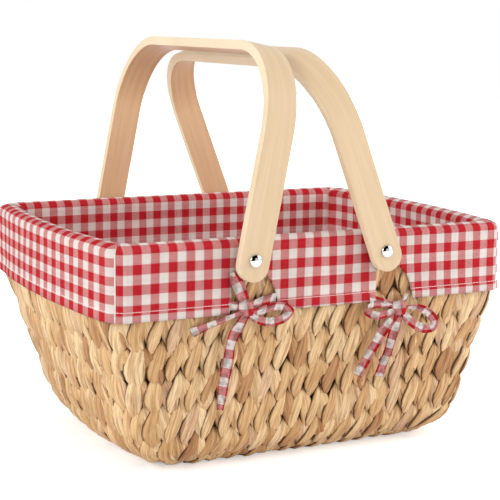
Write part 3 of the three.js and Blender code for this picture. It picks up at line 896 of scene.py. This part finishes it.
def liner_panel(name, along_x, sign):
    """One side of the liner, from the hem over the rim and down inside to the floor."""

    def half_length(inset, radius):
        straight = half_side(inset, radius) if along_x else half_end(inset, radius)
        return straight + radius * HALF_PI / 2

    length = half_length(0, FLAP_CORNER_RADIUS)
    slits = PIVOT_X if along_x else {"left": 0, "right": 0}
    stations = [-share for share in reversed(half_stations(length, -slits["left"])[1:])]
    stations += half_stations(length, slits["right"])
    slit_columns = {}
    if along_x:
        slit_columns = {PANEL_COLUMNS - SLIT_COLUMNS: "left", PANEL_COLUMNS + SLIT_COLUMNS: "right"}

    def spread(at, z, column, side):
        shift = 0
        for slit_column, slit in slit_columns.items():
            away = at - PIVOT_X[slit]
            which = side if column == slit_column else (1 if away > 0 else -1)
            if which:
                near = max(1 - abs(away) / SLIT_REACH, 0) ** SLIT_FADE
                shift += which * near * slit_opening(slit, which, z)
        return shift

    def pattern(at, row, distance):
        if not along_x:
            return Vector((at, distance)) * END_CHECK_SCALE - END_CHECK_START
        flat = Vector((at, distance)) - CHECK_START
        if sign < 0 and PIVOT_X["left"] <= at <= PIVOT_X["right"]:
            flat += MIDDLE_FLAP_SHIFT * (1 - ease((row - FLAP_ROWS) / FOLD_ROWS))
        return flat

    def wave_at(at, distance, rates):
        along, between_panels, up = rates
        return noise.noise(Vector((at * along, sign * between_panels + along_x, distance * up)))

    def place(column, row, side):
        inset, z, radius, distance = section[row]
        share = stations[column]
        reach = half_length(inset, radius)
        at = share * reach
        shift = spread(at, z, column, side) if row <= SLIT_TOP_ROW else 0
        end = 1 if share >= 0 else -1
        quarter = (end, sign) if along_x else (sign, end)
        moved = end * (at + shift)
        if along_x:
            run = moved - half_side(inset, radius)
        else:
            run = radius * HALF_PI + half_end(inset, radius) - moved
        loose = ease(1 - row / FLAP_ROWS) * ease((reach - abs(at)) / SEAM_REACH)
        wave = wave_at(at, distance, WAVE_RATES)
        ripple = wave_at(at, distance, RIPPLE_RATES)
        swell = (WAVE + LOOSE_WAVE * loose) * wave + RIPPLE * ripple + LOOSE_SWELL * loose
        if row < HEM_ROWS:
            swell += HEM_STEP
        swell -= SEAM_GROOVE * math.exp(-((reach - abs(at)) / SEAM_WIDTH) ** 2)
        if row > FLAP_ROWS + FOLD_ROWS / 2:
            swell = -swell
        lift = FLAP_LIFT * wave if row < FLAP_ROWS else 0
        x, y = plan(quarter, run, inset - swell, radius)
        flat = pattern(at + shift, row, distance)
        return stand(x, y, z) + Vector((0, 0, lift)), [flat, (at, distance)]

    bm = bmesh.new()
    layers = [bm.loops.layers.uv.new("cloth"), bm.loops.layers.uv.new("hem")]
    cuts = [(column, SLIT_TOP_ROW) for column in slit_columns]
    faces = add_grid(bm, layers, len(stations) - 1, len(section) - 1, place, cuts)
    outward = Vector((0, sign, 0)) if along_x else Vector((sign, 0, 0))
    turn_faces(bm, faces, outward * RIM_X + Vector((0, 0, FLAP_Z)), outward)
    if not along_x:
        for face in faces:
            flat = [loop[layers[1]].uv for loop in face.loops]
            at_edge = min(abs(point.x) for point in flat) > length - PIPING
            if at_edge and max(point.y for point in flat) < FLAP_DROP:
                face.material_index = 1
    flat_area = sum(flat_face_area(face, layers[1]) for face in faces)
    obj = piece(f"gingham_{name}", bm, [liner_cotton, piping], "basket", "gingham", f"liner_{name}")
    thicken(obj, CLOTH, -1)


def flat_face_area(face, layer):
    """Area of a face on the flat cloth."""
    points = [loop[layer].uv for loop in face.loops]
    turns = zip(points, points[1:] + points[:1])
    return abs(sum(a.x * b.y - b.x * a.y for a, b in turns)) / 2


def floor_place(quarter, column, row, side):
    """Place and flat coordinates on a quarter of the liner's floor, with row 0 in its middle."""
    inset, z = section[-1][:2]
    x, y = plan(quarter, quarter_run(column / FLOOR_COLUMNS, inset), inset)
    share = row / FLOOR_ROWS
    spot = Vector((x, y, 0)) * share
    rumple = FLOOR_RUMPLE * noise.noise(spot * RUMPLE_RATE) * (1 - share)
    return stand(spot.x, spot.y, z) + Vector((0, 0, rumple)), [(spot.x, spot.y)]


def liner_floor():
    """Gingham over the bottom, inside."""
    inset, z = section[-1][:2]
    bm = quartered_sheet(FLOOR_COLUMNS, FLOOR_ROWS, floor_place)
    turn_faces(bm, bm.faces, Vector((0, 0, z)), Vector((0, 0, 1)))
    obj = piece("gingham_floor", bm, [floor_cotton], "basket", "gingham", "liner_floor")
    thicken(obj, CLOTH, -1)


liner_panel("front", True, -1)
liner_panel("back", True, 1)
liner_panel("left", False, -1)
liner_panel("right", False, 1)
liner_floor()


# Tie bows

def smooth_line(points, steps):
    """Smooth line through the points."""
    ends = [points[0] * 2 - points[1], *points, points[-1] * 2 - points[-2]]
    line = []
    for a, b, c, d in zip(ends, ends[1:], ends[2:], ends[3:]):
        for step in range(steps):
            t = step / steps
            curve = 2 * b + (c - a) * t
            curve += (2 * a - 5 * b + 4 * c - d) * t ** 2
            curve += (3 * b - a - 3 * c + d) * t ** 3
            line.append(curve / 2)
    return [*line, points[-1]]


def add_ribbon(bm, layer, seat, waypoints, phase):
    """Strip of tie through waypoints, each its middle and the vector across it. Gives its length."""
    line = smooth_line([Vector(middle) * MM for middle, across in waypoints], TIE_STEPS)
    breadths = smooth_line([Vector(across) * MM for middle, across in waypoints], TIE_STEPS)
    lengths = [0]
    for before, after in zip(line, line[1:]):
        lengths.append(lengths[-1] + (after - before).length)

    def place(column, row, side):
        across = column / TIE_COLUMNS - 0.5
        ahead = line[min(row + 1, len(line) - 1)] - line[max(row - 1, 0)]
        normal = breadths[row].cross(ahead).normalized()
        spot = line[row] + breadths[row] * across + normal * TIE_CUP * (1 - 4 * across ** 2)
        return seat(spot), [(across * TIE_WIDTH + phase, lengths[row])]

    add_grid(bm, [layer], TIE_COLUMNS, len(line) - 1, place)
    return lengths[-1]


def add_knot(bm, layer, seat):
    """Band wrapped round the middle of a bow. Gives its length."""

    def place(column, row, side):
        across = column / TIE_COLUMNS - 0.5
        turn = 2 * math.pi * row / KNOT_ROWS
        barrel = 1 - KNOT_BARREL * across ** 2
        spot = Vector((
            KNOT_HALF_WIDTH * barrel * math.cos(turn) - KNOT_SLANT * across,
            KNOT_HEIGHT * across,
            KNOT_HALF_DEPTH * (1 + barrel * math.sin(turn)),
        ))
        return seat(spot), [(across * TIE_WIDTH - CHECK_WIDTH / 2, turn * KNOT_RADIUS)]

    add_grid(bm, [layer], TIE_COLUMNS, KNOT_ROWS, place)
    return 2 * math.pi * KNOT_RADIUS


def tie_bow(corner, turned, away, drop, ribbons):
    """Bow tied at a slit, laid against the flap."""
    end = corner.split("_")[1]
    outward = 1 if end == "right" else -1
    facing = -1 if turned else 1
    knot = Vector((outward * away, -facing * RIM_Y, RIM_TOP - drop))

    def seat(spot):
        return Vector((knot.x + facing * spot.x, knot.y - facing * spot.z, knot.z + spot.y))

    bm = bmesh.new()
    layer = bm.loops.layers.uv.new("cloth")
    length = add_knot(bm, layer, seat)
    for waypoints in ribbons:
        length += add_ribbon(bm, layer, seat, waypoints, CHECK_WIDTH * chance.uniform(*TIE_PHASES))
    bmesh.ops.remove_doubles(bm, verts=bm.verts, dist=FINE_MERGE)
    obj = piece(f"gingham_bow_{corner}", bm, [tie_cotton], "basket", "gingham", f"tie_bow_{corner}")
    thicken(obj, TIE_CLOTH, 0, is_even=False)
    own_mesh(obj)


# Ribbons as waypoints in millimetres from the knot: a middle and a vector across, as right, up, outward
LONG_TAILED = [
    # Loop folded flat, up to the left
    [
        ((-1, 3, 3), (6, 1, 0)),
        ((-3, 10, 2), (8, 2, 0)),
        ((-7, 19, 2), (8, 3, 0)),
        ((-11, 27, 2.4), (7, 3, 0)),
        ((-13, 31, 3.4), (3.5, 1.5, 0)),
        ((-11, 26, 4.4), (9, 4, 0)),
        ((-7, 18, 4.6), (10, 4, 0)),
        ((-3, 9, 4.6), (9, 3, 0)),
        ((0, 1, 4), (6, 2, 0)),
    ],
    # Open loop to the right
    [
        ((3, -4, 3), (1, 5, 1)),
        ((9, -4.5, 2.6), (1, 7, 2)),
        ((17, -2.8, 2.6), (0, 7, 2)),
        ((27, -0.6, 3), (1, 7, 2)),
        ((36, -1.6, 3.4), (3, 6, 2)),
        ((41, -6, 3.6), (6, 1, 3)),
        ((37, -10.5, 3.4), (2, -6, 2)),
        ((28, -13.2, 3), (0, -7, 2)),
        ((19, -13, 3), (-1, -7, 1)),
        ((9, -9.5, 3.4), (-2, -6, 1)),
        ((2, -5, 3.4), (-1, -5, 0)),
    ],
    # Tail to the left
    [
        ((-3, -3, 3), (0, 5, 1)),
        ((-10, -5, 3), (-1, 5, 3)),
        ((-20, -8, 2), (-2, 5, 4)),
        ((-35, -13, 0), (-3, 6, 3)),
        ((-47, -17.5, -2), (-5, 7.5, 1)),
    ],
    # Long tail
    [
        ((0, -5, 3), (8, 0, 0)),
        ((-4, -12, 2.4), (8.5, -2, 1)),
        ((-9, -21, 1), (9, -3, 1)),
        ((-12, -32, -1), (9, -2.5, 0)),
        ((-13, -45, -3), (8, -1.5, 3)),
        ((-15, -59, -5), (7, -1.5, 5)),
        ((-16, -74, -8), (6, -1, 5)),
        ((-16.5, -88, -11), (4, -0.5, 4)),
    ],
    # Straps to the flap's two corners
    [
        ((0, 0, 3), (0, 6, 0)),
        ((8, 3, 2.2), (1, 7, 1)),
        ((18, 5, 1.6), (2, 8, 0)),
        ((29, 6, 1.2), (2, 9, 0)),
    ],
    [((0, 0, 3), (0, 5, 0)), ((-8, 2, 1.6), (1, 7, 1)), ((-17, 3, -1.6), (1, 8, 0))],
]
EVEN_TAILED = [
    # Loop folded open, to the left
    [
        ((-2, 1, 3), (0, 5, 0)),
        ((-13, 4, 1.6), (1, 7, 0)),
        ((-25, 4.4, 1.6), (1, 7, 1)),
        ((-34, 0.5, 3.2), (2, 6, 2)),
        ((-25, -5, 4.6), (1, 7, 1)),
        ((-12, -4, 4.6), (0, 6, 0)),
        ((-2, -1, 4), (0, 5, 0)),
    ],
    # Round open loop to the right
    [
        ((2, 0, 3), (0, 3, 1)),
        ((8, -0.6, 3), (0, 3, 3)),
        ((17, -1, 3), (1, 5, 3)),
        ((26, -4, 3.2), (3, 6, 3)),
        ((33, -9, 3.4), (5, 5, 2)),
        ((37.5, -15, 3.4), (7, 2, 2)),
        ((36, -20.5, 3.4), (4, -5, 3)),
        ((28, -21.4, 3.2), (-2, -7, 2)),
        ((18, -17, 3), (-4, -7, 1)),
        ((8.5, -9.8, 3.2), (-4, -6, 0)),
        ((1, -2, 3.4), (-2, -4, 0)),
    ],
    # Two tails
    [
        ((-1, -4, 3), (5, -3, 0)),
        ((-7, -11.5, 2.4), (6, -5, 1)),
        ((-14, -21, 0), (7, -5, 2)),
        ((-21, -33, -2), (5, -3, 5)),
        ((-28, -47, -5), (5.5, -3, 4)),
        ((-34, -60, -8), (8, -4.5, 1)),
    ],
    [
        ((1, -5, 3), (8, -1, 0)),
        ((-1, -13, 2.4), (8.5, -2, 0)),
        ((-4, -25, 0), (7, -2, 3)),
        ((-6, -37, -2), (5, -1.5, 5)),
        ((-9, -50, -5), (6.5, -1.5, 3)),
        ((-12, -63, -8), (8.5, -2, 1)),
    ],
    # Straps to the flap's two corners
    [((0, 0, 3), (0, 5, 0)), ((-14, 5, 1.6), (0, 7, 1)), ((-29, 9, 1), (-1, 9, 0))],
    [((0, 0, 3), (5, 2, 0)), ((5, 5, 1.6), (5, 2, 1)), ((9, 11, 1), (5, 2, 0))],
]
tie_bow("front_left", False, LONG_TAIL_X, LONG_TAIL_DROP, LONG_TAILED)
tie_bow("front_right", False, EVEN_TAIL_X, EVEN_TAIL_DROP, EVEN_TAILED)
tie_bow("back_right", True, LONG_TAIL_X, LONG_TAIL_DROP, LONG_TAILED)
tie_bow("back_left", True, EVEN_TAIL_X, EVEN_TAIL_DROP, EVEN_TAILED)


# Handles

def arch_point(distance):
    """Point (y, z) of the arch's outer face at a distance from the front leg's end, about the pivot."""
    if distance > HANDLE_LENGTH / 2:
        y, z = arch_point(HANDLE_LENGTH - distance)
        return -y, z
    if distance < HANDLE_LEG:
        return -HANDLE_OUTER, distance - LEG_TAIL
    turn = min((distance - HANDLE_LEG) / HANDLE_CORNER_RADIUS, HALF_PI)
    past = max(distance - HANDLE_LEG - HANDLE_BEND, 0)
    y = HANDLE_CORNER_RADIUS - HANDLE_OUTER - HANDLE_CORNER_RADIUS * math.cos(turn) + past
    return y, HANDLE_REACH - HANDLE_CORNER_RADIUS * (1 - math.sin(turn))


def handle(side):
    """Bentwood arch with round leg ends, leaning about its pivots."""
    pivot = Vector((PIVOT_X[side], 0, PIVOT_Z))
    half = HANDLE_WIDTH / 2
    lean_turn = Matrix.Rotation(HANDLE_LEAN[side], 3, "Y")

    def place(column, row, cut_side):
        turn = math.pi * (column / HANDLE_COLUMNS - 0.5)
        across = half * math.sin(turn)
        end = half * (1 - math.cos(turn))
        distance = end + (HANDLE_LENGTH - 2 * end) * row / HANDLE_ROWS
        y, z = arch_point(distance)
        return pivot + lean_turn @ Vector((across, y, z)), [(across, distance)]

    bm = bmesh.new()
    layer = bm.loops.layers.uv.new("plank")
    faces = add_grid(bm, [layer], HANDLE_COLUMNS, HANDLE_ROWS, place)
    turn_faces(bm, faces, pivot + lean_turn @ Vector((0, 0, HANDLE_REACH)), Vector((0, 0, 1)))
    materials = [birch_outer, birch_inner, birch_edge]
    obj = piece(f"bentwood_{side}", bm, materials, f"handle_{side}", "birch", f"handle_{side}")
    solidify = thicken(obj, HANDLE_THICKNESS, -1)
    solidify.material_offset = 1
    solidify.material_offset_rim = 2
    bevel = obj.modifiers.new("eased_edges", "BEVEL")
    bevel.width = HANDLE_EDGE
    bevel.segments = 3
    bevel.angle_limit = math.radians(50)


def rivet(corner):
    """Domed rivet turned about the pivot's axis, with its shank and tail inside the wall."""
    low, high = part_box(f"rivet_{corner}")
    middle = (low + high) / 2
    radius = (high.x - low.x) / 2
    outward = 1 if middle.y > 0 else -1
    tail, tip = sorted((abs(low.y), abs(high.y)))
    head = HANDLE_OUTER + RIVET_GAP
    rim = head + RIVET_RIM
    profile = [
        (0, tail),
        (RIVET_TAIL_RADIUS, tail),
        (RIVET_TAIL_RADIUS, tail + RIVET_TAIL),
        (RIVET_SHANK_RADIUS, tail + RIVET_TAIL),
        (RIVET_SHANK_RADIUS, head),
        (radius - RIVET_EDGE, head),
        (radius, rim),
    ]
    for step in range(1, DOME_STEPS + 1):
        turn = HALF_PI * step / DOME_STEPS
        profile.append((radius * math.cos(turn), rim + (tip - rim) * math.sin(turn)))
    bm = bmesh.new()
    verts = [bm.verts.new((middle.x + across, outward * out, middle.z)) for across, out in profile]
    edges = [bm.edges.new(pair) for pair in zip(verts, verts[1:])]
    bmesh.ops.spin(
        bm,
        geom=verts + edges,
        cent=(middle.x, 0, middle.z),
        axis=(0, 1, 0),
        angle=2 * math.pi,
        steps=RIVET_SIDES,
        use_merge=True,
    )
    bmesh.ops.remove_doubles(bm, verts=bm.verts, dist=FINE_MERGE)
    bmesh.ops.recalc_face_normals(bm, faces=bm.faces)
    piece(f"chrome_rivet_{corner}", bm, [chrome], "basket", "chrome", f"rivet_{corner}")


for side in ("left", "right"):
    handle(side)
for corner in ("front_left", "front_right", "back_left", "back_right"):
    rivet(corner)

# Hidden frame and fasteners keep their solids
for name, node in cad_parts.items():
    if name.startswith(("rim_hoop", "base_hoop", "frame_upright", "washer", "spacer")):
        node.data.materials.clear()
        node.data.materials.append(birch_spacer if name.startswith("spacer") else wire)


# Camera, light and surroundings

def camera():
    """Camera of the photograph."""
    lens = bpy.data.cameras.new("photo_camera")
    lens.lens = CAMERA_LENS
    lens.sensor_width = CAMERA_SENSOR
    aim = Matrix.Rotation(-CAMERA_YAW, 4, "Z") @ Matrix.Rotation(HALF_PI - CAMERA_PITCH, 4, "X")
    obj = new_object("photo_camera", lens)
    obj.matrix_world = Matrix.Translation(CAMERA_AT) @ aim @ Matrix.Rotation(CAMERA_ROLL, 4, "Z")
    bpy.context.scene.camera = obj


def lamp(name, at, size, power):
    """Soft square lamp aimed at the basket."""
    light = bpy.data.lights.new(name, "AREA")
    light.size = size
    light.energy = power
    aim = (LAMP_AIM - Vector(at)).to_track_quat("-Z", "Y")
    obj = new_object(name, light)
    obj.matrix_world = Matrix.Translation(at) @ aim.to_matrix().to_4x4()


def seen_directly(tree):
    """1 for camera, mirror and glass rays, 0 for light that falls on surfaces."""
    path = tree.node("ShaderNodeLightPath").outputs
    seen = tree.math("MAXIMUM", path["Is Camera Ray"], path["Is Glossy Ray"])
    return tree.math("MAXIMUM", seen, path["Is Transmission Ray"])


def white_room():
    """White backdrop with soft light from all round and a dark side that only mirrors show."""
    world = bpy.data.worlds.new("white_room")
    world.use_nodes = True
    bpy.context.scene.world = world
    tree = Tree(world.node_tree)
    backdrop = world.node_tree.nodes["Background"]
    level = tree.math("ADD", tree.math("MULTIPLY", seen_directly(tree), 1 - ROOM_LIGHT), ROOM_LIGHT)
    look = tree.node("ShaderNodeTexCoord").outputs["Generated"]
    facing = tree.node("ShaderNodeVectorMath", {0: look, 1: DARK_SIDE}, operation="DOT_PRODUCT")
    shaded = tree.fade(facing.outputs["Value"], DARK_FADE)
    mirrored = tree.node("ShaderNodeLightPath").outputs["Is Glossy Ray"]
    left_over = tree.math("SUBTRACT", 1, tree.math("MULTIPLY", shaded, mirrored))
    tree.links.new(tree.math("MULTIPLY", level, left_over), backdrop.inputs["Strength"])
    backdrop.inputs["Color"].default_value = grey(1)


def white_floor():
    """Floor that keeps the shadow and blends into the backdrop."""
    material, tree, surface = new_material("white_floor", roughness=1, specular=0)
    surface.inputs["Base Color"].default_value = grey(GROUND_TONE)
    surface.inputs["Emission Color"].default_value = grey(1)
    distance = tree.node("ShaderNodeVectorMath", {0: tree.place()}, operation="LENGTH")
    far = tree.fade(distance.outputs["Value"], GROUND_FADE)
    glow = tree.math("ADD", tree.math("MULTIPLY", far, 1 - GROUND_GLOW), GROUND_GLOW)
    tree.links.new(tree.math("MULTIPLY", seen_directly(tree), glow), surface.inputs["Emission Strength"])
    bm = bmesh.new()
    bmesh.ops.create_circle(bm, cap_ends=True, segments=64, radius=GROUND_RADIUS)
    bmesh.ops.translate(bm, vec=(0, 0, -GROUND_DROP), verts=bm.verts)
    mesh = new_mesh("white_floor", bm)
    mesh.materials.append(material)
    floor = new_object("white_floor", mesh)


camera()
for settings in LAMPS:
    lamp(*settings)
white_room()
white_floor()
bpy.context.scene.view_settings.view_transform = "Standard"
